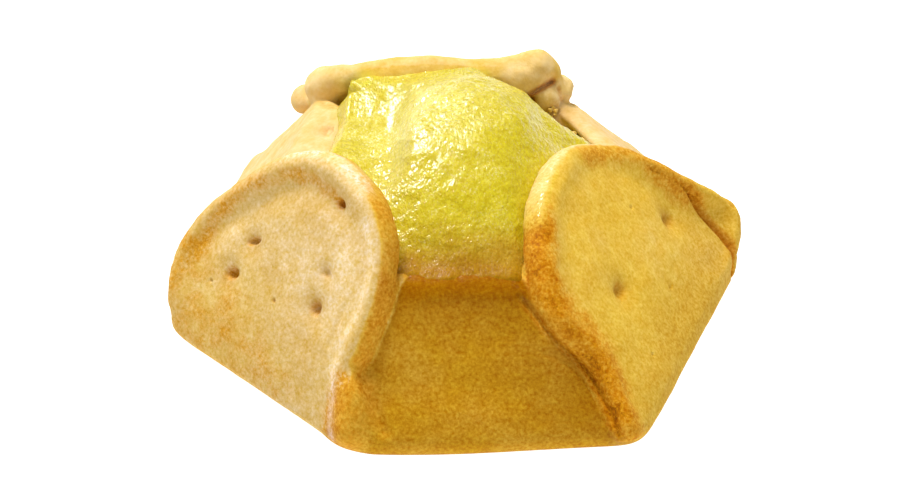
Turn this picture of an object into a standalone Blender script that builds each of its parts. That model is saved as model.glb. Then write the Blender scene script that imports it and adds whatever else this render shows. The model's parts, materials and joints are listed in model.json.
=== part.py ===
"""Open fruit pastry: a six-sided shortcrust case with three large flaps folded up over a cooked fruit filling.

The case is a bowl of dough with six leaning walls. Three of its sides carry a round flap with a thick, browned
rim. The other three are the lower walls that show between the flaps. +X is to the right, +Y to the back, +Z up.
Named sizes are in millimetres and the meshes are in metres.
"""

import functools
import math

import bmesh
import bpy
import numpy as np
from mathutils import Vector

MM = 0.001

# The dough.
FOLD_RADIUS = 3.0
DOUGH = 4.0
FLAP_THICKNESS = {"left": 4.2, "right": 4.4, "back": 3.8}
FLAP_SEAT = 3.2  # how far a wall that carries a flap is set back under it
FLAP_SEAT_FROM = 2.0
FLAP_SEAT_FULL = 10.0
CORNER_SHARPNESS = 30

# Two walls are folded thicker or thinner than the rest towards their top.
EXTRA_DOUGH = {"back_left": 2.0, "back_right": -0.8}
EXTRA_FROM = 6.0
EXTRA_FULL = 20.0

# The foot of the front wall swells a little at its middle.
FRONT_BULGE, FRONT_BULGE_X, FRONT_BULGE_WIDTH = 1.3, -3.0, 20.0

# The rim of a flap: a low bead, set in from the edge.
BEAD_HEIGHT = {"left": 1.0, "right": 1.2, "back": 0.5}
BEAD_INSET = 2.4
BEAD_WIDTH = 1.5
BEAD_FROM, BEAD_FULL = 4.0, 12.0  # how far up the flap it grows
HEAVY_BEAD = 1.2  # how much more there is of it along the right flap's far edge
RIM_ROUND = 2.2
RIM_ZONE = 6.5

# The face of a flap: a soft crown in the middle, a shallow hollow inside the rim, and its seat on the wall.
CROWN_HEIGHT, CROWN_HALF_WIDTH = 0.9, 26.0
HOLLOW_DEPTH, HOLLOW_INSET, HOLLOW_WIDTH = 0.8, 6.0, 2.5
SEAT_DEPTH, SEAT_FROM, SEAT_FULL = 0.6, 4.0, 9.0

# How the flaps bend: the right one in at its front edge, the back one out at a peak, the left one out at its side.
RIGHT_CURL, RIGHT_CURL_FROM = 0.008, 16.0
BACK_PEAK_HEIGHT, BACK_PEAK_ALONG, BACK_PEAK_WIDTH = 1.0, -16.5, 5.0
LEFT_LIFT, LEFT_LIFT_FROM, LEFT_LIFT_FULL = 0.6, 8.0, 20.0

# The corners of the case seen from above, anticlockwise from the left end of the photographed front.
CORNERS = {
    "left": (-49.3, -10.4),
    "front_left": (-18.4, -43.5),
    "front_right": (29.4, -41.6),
    "right": (48.6, 10.2),
    "back_right": (30.0, 46.0),
    "back_left": (-37.0, 42.0),
}

# Each side: its two corners, its slope in degrees, the height of its wall, and whether it carries a flap.
SIDES = {
    "left": ("left", "front_left", 60, 22.0, True),
    "front": ("front_left", "front_right", 60, 25.0, False),
    "right": ("front_right", "right", 48, 22.0, True),
    "back_right": ("right", "back_right", 45.5, 22.6, False),
    "back": ("back_right", "back_left", 60, 22.0, True),
    "back_left": ("back_left", "left", 52, 26.0, False),
}

# Each flap's outline: (along the side from its middle, up the flap), in order round the flap.
FLAP_OUTLINES = {
    "left": [
        (-19.4, 3.8), (-23.6, 9.5), (-25.0, 17.0), (-22.6, 26.5), (-15.8, 37.4), (-7.4, 43.4), (1.5, 44.6),
        (9.8, 42.2), (16.2, 37.0), (19.2, 29.0), (19.6, 20.0), (19.0, 12.0), (19.4, 5.5), (8.0, 2.4), (-8.0, 2.4),
    ],
    "right": [
        (22.0, 5.0), (28.2, 8.0), (31.2, 13.0), (27.6, 20.6), (21.2, 31.0), (14.2, 39.2), (4.0, 43.8),
        (-7.9, 43.0), (-15.6, 39.8), (-22.2, 34.8), (-25.8, 28.0), (-25.4, 19.5), (-28.2, 12.6),
        (-30.4, 8.0), (-27.5, 4.4), (-12.0, 2.4), (6.0, 2.4),
    ],
    "back": [
        (-22.5, 5.5), (-24.0, 14.0), (-21.4, 22.0), (-18.4, 27.0), (-20.6, 32.6), (-17.0, 37.6), (-12.4, 36.2),
        (-6.0, 36.0), (3.0, 37.4), (11.5, 36.4), (18.0, 34.2), (22.6, 30.0), (23.4, 22.0), (24.6, 14.0),
        (23.0, 5.5), (8.0, 2.4), (-8.0, 2.4),
    ],
}
FLAP_CENTRES = {"left": (-0.5, 21.0), "right": (-2.0, 21.0), "back": (0.5, 19.0)}

# The filling: a mound of soft fruit that rises from the front wall and falls away to the right at the back.
GAP = 0.8
MOUND_EDGE, MOUND_RISE, MOUND_FRONT, MOUND_RUN = 24.6, 5.0, -27.0, 26.0
RIGHT_FALL, RIGHT_FALL_FROM, RIGHT_FALL_FULL = 4.8, 8.0, 22.0
MOUND_LOWEST = 18.5

# Its dome (x, y, height, half width, half depth), which ends in a step on the left, and low lumps beside it.
DOME = (1.0, -1.0, 6.2, 13.5, 18.0)
DOME_STEP = (-12.0, -7.6)
DOME_STEP_FRONT = (-13.0, -3.0)
LUMPS = [(-15.0, 9.0, -1.2, 7.0, 9.0), (2.0, -19.5, 1.4, 9.0, 6.0), (-8.0, -17.0, 0.8, 6.0, 6.0)]

# The line (x, y) at the back right beyond which the mound slopes down to the wall, and how steeply.
SLOPE_LINE = [(4.0, 19.0), (10.2, 17.2), (14.6, 14.6), (20.6, 11.4), (25.0, 7.0)]
SLOPE_STEEPNESS = 1.15

# Under a flap the mound stays below it. Away from a flap's rim it may rise again.
MOUND_RINGS = (0.97, 0.91, 0.84, 0.75, 0.65, 0.54, 0.42, 0.30, 0.18, 0.07)
FLAP_CURL_ROOM = {"left": 0.2, "right": 1.2, "back": 0.2}  # how far a flap's inner face may bend inwards
RIM_CLEARANCE = 2.0
RIM_RISE = 1.6

# Dock holes: side, along, up, and how far out the dough's surface lies there.
HOLE_RADIUS = 0.9
HOLE_DEPTH = 1.6
DOCK_HOLES = [
    ("left", 4.6, 38.4, 0.0), ("left", -9.7, 25.5, 0.0), ("left", -11.9, 18.8, 0.0), ("left", 7.2, 27.4, 0.0),
    ("left", 7.5, 21.5, 0.0), ("right", 15.7, 20.4, 0.0), ("right", -8.3, 21.9, 0.0),
    ("back_left", -2.3, 35.7, -2.0),
]

# Dough folded up at the ends of the back rim: side, along, up, out, and half sizes along, up and out.
FOLD_LUMPS = {
    "rim_knob": ("back", 20.7, 31.3, -1.5, 3.5, 3.4, 3.3),
    "corner_lobe": ("back", 24.5, 23.1, 0.3, 2.4, 2.8, 2.8),
    "rim_lobe": ("back", -13.8, 33.9, -2.1, 4.4, 3.0, 3.0),
    "broken_crust_low": ("back", -17.1, 30.3, -5.4, 2.5, 3.0, 2.9),
    "broken_crust_high": ("back", -21.0, 29.4, -2.7, 2.0, 2.3, 2.3),
}

# Heights of the rings inside the case, which the filling shares, and how far below the edge the last one lies.
INNER_LEVELS = (DOUGH, 6.0, 9.0, 15.0)
INNER_EDGE = 3.0

AROUND_CASE = 72
AROUND_FLAP = 52
AROUND_FILLING = 72

PASTRY_COLOUR = (0.72, 0.46, 0.17)
FILLING_COLOUR = (0.68, 0.62, 0.10)


def smooth_step(x, low, high):
    """0 below low, 1 above high, and a soft rise between."""
    share = np.clip((x - low) / (high - low), 0.0, 1.0)
    return share * share * (3.0 - 2.0 * share)


def side_frame(name):
    """A side's middle, its direction, its inward direction, its slope and its half length."""
    start, end, slope, _, _ = SIDES[name]
    first = np.array(CORNERS[start])
    last = np.array(CORNERS[end])
    length = np.linalg.norm(last - first)
    along = (last - first) / length
    inward = np.array([-along[1], along[0]])
    return (first + last) / 2.0, along, inward, math.radians(slope), length / 2.0


def wall_inset(z, slope):
    """How far a wall's outer face lies inside its side line at height z, the bottom fold included."""
    fold_top = FOLD_RADIUS * (1.0 + math.cos(slope))
    if z < fold_top:
        return FOLD_RADIUS - math.sqrt(max(0.0, FOLD_RADIUS**2 - (z - FOLD_RADIUS) ** 2))
    return FOLD_RADIUS * (1.0 - math.sin(slope)) + (z - fold_top) / math.tan(slope)


def flap_point(name, along, up, out):
    """A point on a side: along it, up its surface from the floor, and out from that surface."""
    middle, direction, inward, slope, _ = side_frame(name)
    fold_length = FOLD_RADIUS * (math.pi - slope)
    turn = min(max(up, 0.0), fold_length) / FOLD_RADIUS
    beyond = max(0.0, up - fold_length)
    inset = FOLD_RADIUS * (1.0 - math.sin(turn)) + beyond * math.cos(slope) + max(0.0, -up)
    height = FOLD_RADIUS * (1.0 - math.cos(turn)) + beyond * math.sin(slope)
    inset -= out * math.sin(turn)
    height -= out * math.cos(turn)
    flat = middle + along * direction + inset * inward
    return np.array([flat[0], flat[1], height])


def side_weights(angle):
    """How much of each side shows in this direction from the middle."""
    weights = {}
    for name in SIDES:
        middle, _, inward, _, _ = side_frame(name)
        facing = -inward[0] * math.cos(angle) - inward[1] * math.sin(angle)
        distance = -(middle @ inward)
        weights[name] = max(0.0, facing / distance) ** CORNER_SHARPNESS
    total = sum(weights.values())
    return {name: weight / total for name, weight in weights.items()}


def case_radius(angle, z, dough, gap=0.0):
    """The case's radius at height z, for a share of the dough's thickness, as a six-sided shape."""
    total = 0.0
    for name in SIDES:
        middle, _, inward, slope, _ = side_frame(name)
        facing = -inward[0] * math.cos(angle) - inward[1] * math.sin(angle)
        if facing <= 0.0:
            continue
        thickness = DOUGH + EXTRA_DOUGH.get(name, 0.0) * smooth_step(z, EXTRA_FROM, EXTRA_FULL)
        inset = wall_inset(z, slope) + (dough * thickness + gap) / math.sin(slope)
        if SIDES[name][4]:
            inset += FLAP_SEAT * smooth_step(z, FLAP_SEAT_FROM, FLAP_SEAT_FULL) / math.sin(slope)
        distance = -(middle @ inward) - inset
        total += (facing / distance) ** CORNER_SHARPNESS
    return total ** (-1.0 / CORNER_SHARPNESS)


def wall_height(angle):
    return sum(weight * SIDES[name][3] for name, weight in side_weights(angle).items())


def loft(name, rings):
    """A closed mesh through rings of equal count, first to last, with both ends capped."""
    mesh = bmesh.new()
    rows = [[mesh.verts.new(Vector(point) * MM) for point in ring] for ring in rings]
    count = len(rows[0])
    for lower, upper in zip(rows, rows[1:]):
        for i in range(count):
            j = (i + 1) % count
            mesh.faces.new((lower[i], lower[j], upper[j], upper[i]))
    mesh.faces.new(list(reversed(rows[0])))
    mesh.faces.new(rows[-1])
    bmesh.ops.recalc_face_normals(mesh, faces=mesh.faces)
    data = bpy.data.meshes.new(name)
    mesh.to_mesh(data)
    mesh.free()
    return bpy.data.objects.new(name, data)


def case_ring(z, dough, top=0.0):
    """One ring of the case. With top set, z counts from the wall's own height."""
    ring = []
    for i in range(AROUND_CASE):
        angle = 2.0 * math.pi * i / AROUND_CASE
        height = z + top * wall_height(angle)
        radius = case_radius(angle, height, dough)
        x, y = radius * math.cos(angle), radius * math.sin(angle)
        if dough < 0.5:
            y -= front_bulge(x, y, height)
        ring.append((x, y, height))
    return ring


def front_bulge(x, y, z):
    """How far the front wall swells forwards here, near its foot."""
    across = math.exp(-(((x - FRONT_BULGE_X) / FRONT_BULGE_WIDTH) ** 2))
    return FRONT_BULGE * across * (1.0 - smooth_step(z, 2.0, 20.0)) * smooth_step(-y, 30.0, 40.0)


def make_case():
    """The bowl of dough: its floor, its six leaning walls and their rounded top edge."""
    outer = [case_ring(z, 0.0) for z in (0.0, 0.25, 0.9, 1.9, 3.2, 5.0)]
    walls = [case_ring(share * 5.0, 0.0, share) for share in (0.32, 0.5, 0.68)]
    edge = [
        case_ring(-2.0, 0.0, 1.0),
        case_ring(-0.6, 0.12, 1.0),
        case_ring(0.0, 0.5, 1.0),
        case_ring(-0.6, 0.88, 1.0),
        case_ring(-INNER_EDGE, 1.0, 1.0),
    ]
    inner = [case_ring(z, 1.0) for z in reversed(INNER_LEVELS)]
    return loft("case", outer + walls + edge + inner)


def closed_curve(points, count):
    """A smooth closed curve through the points, as count points evenly spaced along it."""
    control = np.array(points, float)
    dense = []
    for i in range(len(control)):
        a, b, c, d = (control[(i + k) % len(control)] for k in (-1, 0, 1, 2))
        for step in np.linspace(0.0, 1.0, 12, endpoint=False):
            dense.append(
                0.5 * (2 * b + (c - a) * step + (2 * a - 5 * b + 4 * c - d) * step**2
                       + (3 * b - a - 3 * c + d) * step**3)
            )
    dense = np.array(dense + [dense[0]])
    lengths = np.concatenate([[0.0], np.cumsum(np.linalg.norm(np.diff(dense, axis=0), axis=1))])
    wanted = np.linspace(0.0, lengths[-1], count, endpoint=False)
    return np.stack([np.interp(wanted, lengths, dense[:, k]) for k in (0, 1)], 1)


@functools.cache
def flap_curve(name):
    return closed_curve(FLAP_OUTLINES[name], AROUND_FLAP)


def flap_relief(name, along, up, inset):
    """How far the flap's outer face stands out: the bead near its rim, a soft crown, and its seat at the fold."""
    bead = BEAD_HEIGHT[name] * math.exp(-(((inset - BEAD_INSET) / BEAD_WIDTH) ** 2))
    bead *= smooth_step(up, BEAD_FROM, BEAD_FULL)
    if name == "right":
        bead *= 1.0 + HEAVY_BEAD * smooth_step(along, 8.0, 20.0)
    across = min(1.0, abs(along) / CROWN_HALF_WIDTH)
    crown = CROWN_HEIGHT * math.cos(across * math.pi / 2) * smooth_step(up, 6.0, 22.0)
    hollow = HOLLOW_DEPTH * math.exp(-(((inset - HOLLOW_INSET) / HOLLOW_WIDTH) ** 2)) * smooth_step(up, 14.0, 26.0)
    seat = SEAT_DEPTH * (1.0 - smooth_step(up, SEAT_FROM, SEAT_FULL))
    return bead + crown - hollow - seat + flap_curl(name, along, up)


def flap_curl(name, along, up):
    """How a flap bends towards the filling at its sides, or lifts off it."""
    if name == "right":
        return -RIGHT_CURL * max(0.0, -along - RIGHT_CURL_FROM) ** 2 * smooth_step(up, 12.0, 24.0)
    if name == "back":
        peak = math.exp(-(((along - BACK_PEAK_ALONG) / BACK_PEAK_WIDTH) ** 2))
        return BACK_PEAK_HEIGHT * peak * smooth_step(up, 10.0, 26.0)
    return LEFT_LIFT * smooth_step(along, LEFT_LIFT_FROM, LEFT_LIFT_FULL) * smooth_step(up, 8.0, 18.0)


def make_flap(name):
    """A flap: a sheet of dough with a rounded rim, closed on both faces."""
    outline = flap_curve(name)
    centre = np.array(FLAP_CENTRES[name])
    reach = np.linalg.norm(centre - outline, axis=1)
    thickness = FLAP_THICKNESS[name]
    ones = np.ones(AROUND_FLAP)

    def places(insets):
        return outline + (centre - outline) * (insets / reach)[:, None]

    def ring(insets, outs):
        return [flap_point(name, *place, out) for place, out in zip(places(insets), outs)]

    def relief(insets):
        return np.array([flap_relief(name, *place, inset) for place, inset in zip(places(insets), insets)])

    face_insets = [RIM_ZONE + (reach - RIM_ZONE) * share for share in (0.97, 0.6, 0.28)]
    rim_insets = [inset * ones for inset in (RIM_ZONE, 4.6, 3.4, BEAD_INSET, 1.3)]
    rings = [ring(insets, relief(insets)) for insets in face_insets + rim_insets]
    outer_out = relief(RIM_ROUND * 0.5 * ones)
    inner_out = np.array([flap_curl(name, *place) for place in outline]) - thickness
    for turn in (math.radians(degrees) for degrees in (35, 70, 110, 145)):
        insets = RIM_ROUND * 0.55 * (1.0 - math.sin(turn)) * ones
        outer_share = (1.0 + math.cos(turn)) / 2.0
        rings.append(ring(insets, outer_out * outer_share + inner_out * (1.0 - outer_share)))
    for inset in (BEAD_INSET, RIM_ZONE):
        rings.append(ring(inset * ones, inner_out))
    rings.append(ring(face_insets[0], -thickness * ones))
    return loft(name + "_flap", rings)


def make_lump(name):
    """A fold of dough at an end of the back rim, as a stretched ball that leans with its side."""
    side, along, up, out, *half_sizes = FOLD_LUMPS[name]
    centre = flap_point(side, along, up, out)
    axes = [flap_point(side, along + 1.0, up, out) - centre, flap_point(side, along, up + 1.0, out) - centre]
    axes.append(flap_point(side, along, up, out + 1.0) - centre)
    mesh = bmesh.new()
    bmesh.ops.create_uvsphere(mesh, u_segments=14, v_segments=9, radius=1.0)
    for vertex in mesh.verts:
        place = centre + sum(share * size * axis for share, size, axis in zip(vertex.co, half_sizes, axes))
        vertex.co = Vector(place) * MM
    bmesh.ops.recalc_face_normals(mesh, faces=mesh.faces)
    data = bpy.data.meshes.new(name)
    mesh.to_mesh(data)
    mesh.free()
    return bpy.data.objects.new(name, data)


def make_hole_cutter(index, name, along, up, surface):
    """A tapered pin, as the docker's that pricked the dough."""
    foot = Vector(flap_point(name, along, up, surface - HOLE_DEPTH)) * MM
    head = Vector(flap_point(name, along, up, surface + 3.0 * HOLE_DEPTH)) * MM
    mesh = bmesh.new()
    bmesh.ops.create_cone(
        mesh, cap_ends=True, segments=10, radius1=HOLE_RADIUS * 0.5 * MM, radius2=HOLE_RADIUS * 2.0 * MM,
        depth=(head - foot).length,
    )
    turn = (head - foot).to_track_quat("Z", "Y").to_matrix()
    bmesh.ops.rotate(mesh, cent=(0, 0, 0), matrix=turn, verts=mesh.verts)
    bmesh.ops.translate(mesh, vec=(foot + head) / 2, verts=mesh.verts)
    data = bpy.data.meshes.new(f"dock_pin_{index}")
    mesh.to_mesh(data)
    mesh.free()
    return bpy.data.objects.new(f"dock_pin_{index}", data)


def outside_flap(name, along, up):
    """How far a place in a flap's plane lies outside its outline, and 0 inside it."""
    starts = flap_curve(name)
    steps = np.roll(starts, -1, axis=0) - starts
    away = np.array([along, up]) - starts
    shares = np.clip((away * steps).sum(1) / (steps * steps).sum(1), 0.0, 1.0)
    distance = np.linalg.norm(away - shares[:, None] * steps, axis=1).min()
    crossed = [
        step[0] * off[1] / step[1] > off[0]
        for step, off in zip(steps, away)
        if (off[1] < 0.0) != (off[1] < step[1])
    ]
    return 0.0 if sum(crossed) % 2 else distance


def under_flaps(x, y):
    """How high the mound may reach here without touching a flap."""
    lowest = 99.0
    for name, thickness in FLAP_THICKNESS.items():
        middle, direction, inward, slope, _ = side_frame(name)
        away = np.array([x, y]) - middle
        rise = (away @ inward - FOLD_RADIUS * (1.0 - math.sin(slope))) * math.tan(slope)
        depth = thickness + FLAP_CURL_ROOM[name] + GAP
        height = FOLD_RADIUS * (1.0 + math.cos(slope)) + rise - depth / math.cos(slope)
        up = FOLD_RADIUS * (math.pi - slope) + rise / math.sin(slope) - depth * math.tan(slope)
        free = max(0.0, outside_flap(name, away @ direction, up) - RIM_CLEARANCE)
        lowest = min(lowest, height + RIM_RISE * free)
    return lowest


def mound_height(x, y):
    """The height of the fruit's surface."""
    height = MOUND_EDGE + MOUND_RISE * smooth_step(y, MOUND_FRONT, MOUND_FRONT + MOUND_RUN)
    height -= RIGHT_FALL * smooth_step(x, RIGHT_FALL_FROM, RIGHT_FALL_FULL) * smooth_step(y, 0.0, 8.0)
    for lump_x, lump_y, lump_height, half_width, half_depth in LUMPS:
        away = math.hypot((x - lump_x) / half_width, (y - lump_y) / half_depth)
        height += lump_height * math.exp(-(away**3))
    dome_x, dome_y, dome_height, half_width, half_depth = DOME
    away = math.hypot((x - dome_x) / half_width, (y - dome_y) / half_depth)
    step = 1.0 - (1.0 - smooth_step(x, *DOME_STEP)) * smooth_step(y, *DOME_STEP_FRONT)
    height += dome_height * math.exp(-(away**3.2)) * step
    beyond = y - np.interp(x, *zip(*SLOPE_LINE))
    height -= SLOPE_STEEPNESS * max(0.0, beyond) * smooth_step(x, 5.0, 10.0)
    return min(max(height, MOUND_LOWEST), under_flaps(x, y))


def make_filling():
    """The fruit, which fills the case from its floor and stands in a mound above it."""
    angles = [2.0 * math.pi * i / AROUND_FILLING for i in range(AROUND_FILLING)]

    def ring(radius_of, height_of):
        points = []
        for angle in angles:
            radius = radius_of(angle)
            x, y = radius * math.cos(angle), radius * math.sin(angle)
            points.append((x, y, height_of(angle, x, y)))
        return points

    levels = (DOUGH + GAP, *INNER_LEVELS[1:])
    rings = [ring(lambda a, z=z: case_radius(a, z, 1.0, GAP), lambda a, x, y, z=z: z) for z in levels]
    rings.append(
        ring(
            lambda a: case_radius(a, wall_height(a) - INNER_EDGE, 1.0, GAP),
            lambda a, x, y: wall_height(a) - INNER_EDGE,
        )
    )
    rings.append(
        ring(
            lambda a: case_radius(a, wall_height(a) - 1.0, 1.0, GAP),
            lambda a, x, y: min(wall_height(a) - 1.0, mound_height(x, y)),
        )
    )
    for share in MOUND_RINGS:
        rings.append(
            ring(
                lambda a, share=share: share * case_radius(a, wall_height(a) - 1.0, 1.0, GAP),
                lambda a, x, y: mound_height(x, y),
            )
        )
    return loft("filling", rings)


def plain_material(name, colour, roughness, subsurface):
    material = bpy.data.materials.new(name)
    material.use_nodes = True
    shader = material.node_tree.nodes["Principled BSDF"]
    shader.inputs["Base Color"].default_value = (*colour, 1.0)
    shader.inputs["Roughness"].default_value = roughness
    shader.inputs["Metallic"].default_value = 0.0
    shader.inputs["Subsurface Weight"].default_value = subsurface
    return material


def apply_boolean(target, helpers, operation):
    """Joins or cuts all the helpers at once, then removes them."""
    collection = bpy.data.collections.new("helpers_" + operation.lower())
    bpy.context.scene.collection.children.link(collection)
    for helper in helpers:
        collection.objects.link(helper)
        helper.hide_render = True
        helper.display_type = "WIRE"
    modifier = target.modifiers.new("shape", "BOOLEAN")
    modifier.operation = operation
    modifier.operand_type = "COLLECTION"
    modifier.collection = collection
    modifier.solver = "EXACT"
    graph = bpy.context.evaluated_depsgraph_get()
    result = bpy.data.meshes.new_from_object(target.evaluated_get(graph))
    target.modifiers.clear()
    target.data = result
    for helper in helpers:
        bpy.data.objects.remove(helper)
    bpy.data.collections.remove(collection)


def main():
    for obj in list(bpy.data.objects):
        bpy.data.objects.remove(obj)
    collection = bpy.data.collections.new("fruit_pastry")
    bpy.context.scene.collection.children.link(collection)

    pastry = make_case()
    pastry.name = "pastry"
    collection.objects.link(pastry)
    joined = [make_flap(name) for name in FLAP_OUTLINES] + [make_lump(name) for name in FOLD_LUMPS]
    apply_boolean(pastry, joined, "UNION")
    apply_boolean(pastry, [make_hole_cutter(i, *hole) for i, hole in enumerate(DOCK_HOLES)], "DIFFERENCE")

    filling = make_filling()
    collection.objects.link(filling)

    for obj, colour, roughness, subsurface in (
        (pastry, PASTRY_COLOUR, 0.75, 0.1),
        (filling, FILLING_COLOUR, 0.2, 0.4),
    ):
        obj.data.materials.clear()
        obj.data.materials.append(plain_material(obj.name, colour, roughness, subsurface))
        obj.data.shade_smooth()
        obj.data.set_sharp_from_angle(angle=math.radians(60))


main()
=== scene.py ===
"""The looks of an open fruit pastry: a six-sided shortcrust case, three browned flaps and soft cooked fruit.

The forms repeat the model's named sizes, in millimetres, with far finer meshes.
+X is to the right, +Y to the back.
"""

import itertools
import json
import math
from types import SimpleNamespace

import bmesh
import bpy
import numpy as np
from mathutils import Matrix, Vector

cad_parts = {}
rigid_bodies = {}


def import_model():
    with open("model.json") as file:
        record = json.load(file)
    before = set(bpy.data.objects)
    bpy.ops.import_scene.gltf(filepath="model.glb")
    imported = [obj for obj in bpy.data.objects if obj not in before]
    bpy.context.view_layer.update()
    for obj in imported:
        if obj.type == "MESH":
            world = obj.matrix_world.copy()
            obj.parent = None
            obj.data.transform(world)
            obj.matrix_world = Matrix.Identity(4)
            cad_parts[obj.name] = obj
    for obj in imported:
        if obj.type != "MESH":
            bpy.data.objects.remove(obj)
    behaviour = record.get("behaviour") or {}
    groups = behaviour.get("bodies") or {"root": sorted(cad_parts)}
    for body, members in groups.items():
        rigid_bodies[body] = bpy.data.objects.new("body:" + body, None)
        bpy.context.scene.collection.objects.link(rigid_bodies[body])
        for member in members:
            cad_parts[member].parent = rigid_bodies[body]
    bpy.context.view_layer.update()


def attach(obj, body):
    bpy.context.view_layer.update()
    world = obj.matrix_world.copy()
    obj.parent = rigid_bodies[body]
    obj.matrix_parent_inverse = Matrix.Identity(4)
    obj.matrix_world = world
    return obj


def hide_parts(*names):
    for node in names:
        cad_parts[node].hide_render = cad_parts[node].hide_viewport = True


for old in list(bpy.data.objects):
    bpy.data.objects.remove(old)
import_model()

MM = 0.001

# The case, as in the model.
FOLD_RADIUS = 3.0
DOUGH = 4.0
FLAP_THICKNESS = {"left": 4.2, "right": 4.4, "back": 3.8}
FLAP_SEAT = 3.2
CORNER_SHARPNESS = 30
EXTRA_DOUGH = {"back_left": 2.0, "back_right": -0.8}
FRONT_BULGE = 1.3
LEFT_FOOT_INSET = 0.5

# The dip in the case's top edge under the right flap: its direction from the middle and its half width, in
# radians, and its depth.
CORNER_DIP = (-1.17, 0.09, 1.3)

CORNERS = {
    "left": (-49.3, -10.4),
    "front_left": (-18.4, -43.5),
    "front_right": (29.4, -41.6),
    "right": (48.6, 10.2),
    "back_right": (30.0, 46.0),
    "back_left": (-37.0, 42.0),
}

# Each side: its two corners, its slope in degrees, the height of its wall, and whether it carries a flap.
SIDES = {
    "left": ("left", "front_left", 60, 22.0, True),
    "front": ("front_left", "front_right", 60, 25.0, False),
    "right": ("front_right", "right", 48, 22.0, True),
    "back_right": ("right", "back_right", 45.5, 22.1, False),
    "back": ("back_right", "back_left", 60, 22.0, True),
    "back_left": ("back_left", "left", 52, 26.0, False),
}

# Each flap's outline: (along the side from its middle, up the flap), in order round the flap.
FLAP_OUTLINES = {
    "left": [
        (-19.8, 3.8), (-24.3, 9.5), (-25.7, 17.0), (-22.8, 26.4), (-14.8, 36.4), (-7.0, 42.7), (1.5, 44.6),
        (9.8, 42.2), (16.2, 37.0), (19.2, 29.0), (19.6, 20.0), (19.0, 12.0), (19.4, 5.5), (8.0, 2.4),
        (-8.0, 2.4),
    ],
    "right": [
        (22.0, 5.0), (29.2, 7.6), (31.8, 12.4), (27.4, 20.0), (20.9, 30.4), (14.0, 38.7), (4.0, 43.7),
        (-7.9, 43.0), (-15.6, 39.8), (-22.2, 34.8), (-25.8, 28.0), (-25.4, 19.5), (-28.2, 12.6),
        (-30.4, 8.0), (-27.5, 4.4), (-12.0, 2.4), (6.0, 2.4),
    ],
    "back": [
        (-22.5, 5.5), (-24.0, 14.0), (-21.4, 22.0), (-18.4, 27.0), (-20.3, 32.4), (-17.0, 37.0),
        (-12.4, 35.7), (-6.0, 35.6), (3.0, 37.2), (11.5, 36.4), (18.0, 34.2), (22.6, 30.0),
        (23.4, 22.0), (24.6, 14.0), (23.0, 5.5), (8.0, 2.4), (-8.0, 2.4),
    ],
}
FLAP_CENTRES = {"left": (-0.5, 21.0), "right": (-2.0, 21.0), "back": (0.5, 19.0)}
RIM_ROUND = 2.2
RIM_ZONE = 6.5

# Dock holes: side, along, up, half sizes along and up, turn in degrees, depth, and the depth and half size of
# the dimple round the hole.
DOCK_HOLES = [
    ("left", 4.6, 38.4, 0.80, 0.70, 0.0, 1.6, 0.35, 2.0),
    ("left", -9.7, 25.5, 1.35, 0.60, 35.0, 0.8, 0.60, 2.4),
    ("left", -11.9, 18.8, 1.35, 0.90, 30.0, 1.0, 0.75, 2.7),
    ("left", 7.2, 27.4, 0.85, 0.70, 0.0, 0.35, 0.50, 1.9),
    ("left", 7.5, 21.5, 0.95, 1.20, 10.0, 1.0, 0.70, 2.5),
    ("left", -0.9, 18.9, 0.32, 0.32, 0.0, 0.40, 0.05, 1.2),
    ("left", -15.5, 15.8, 0.32, 0.32, 0.0, 0.30, 0.05, 1.2),
    ("right", 15.2, 20.8, 1.60, 1.20, -15.0, 0.55, 1.00, 2.6),
    ("right", -8.6, 22.0, 1.50, 1.15, 0.0, 0.55, 1.00, 2.6),
    ("right", 7.9, 28.2, 0.32, 0.32, 0.0, 0.35, 0.10, 1.3),
    ("right", 2.5, 14.6, 0.32, 0.32, 0.0, 0.30, 0.10, 1.3),
    ("right", -13.2, 11.4, 0.30, 0.30, 0.0, 0.30, 0.05, 1.0),
    ("back_left", -2.3, 35.7, 1.50, 0.90, 20.0, 0.70, 0.70, 2.4),
]

# Lines pressed or folded into the dough: side, points (along, up), out, half width, depth, and the brown
# painted along them, which is painted shade in the crease.
CREASES = [
    ("right", [(17.6, 30.2), (20.2, 27.2), (22.6, 23.2), (23.9, 18.1), (24.3, 12.2), (23.6, 8.0),
               (21.4, 4.8)], 0.3, 0.60, 2.3, 1.25),
    ("right", [(26.6, 23.0), (29.0, 17.4), (29.6, 12.6)], 0.9, 0.45, 0.7, 0.25),
    ("right", [(-28.2, 27.0), (-26.8, 22.6), (-26.4, 17.2), (-28.0, 13.1), (-30.4, 9.8)],
     -3.3, 0.4, 0.4, 0.1),
    ("left", [(13.6, 25.5), (13.4, 20.4), (13.6, 17.6)], 0.3, 0.55, 0.22, 0.0),
    ("front", [(-20.9, 16.6), (-20.5, 14.2), (-19.4, 11.6), (-17.4, 6.8)], 0.2, 0.9, 0.90, 0.12),
    ("front", [(3.6, 28.4), (5.8, 25.6), (10.0, 20.2), (14.8, 15.4), (18.0, 9.8), (19.6, 5.4)],
     0.2, 0.45, 0.9, 0.6),
]

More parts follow.
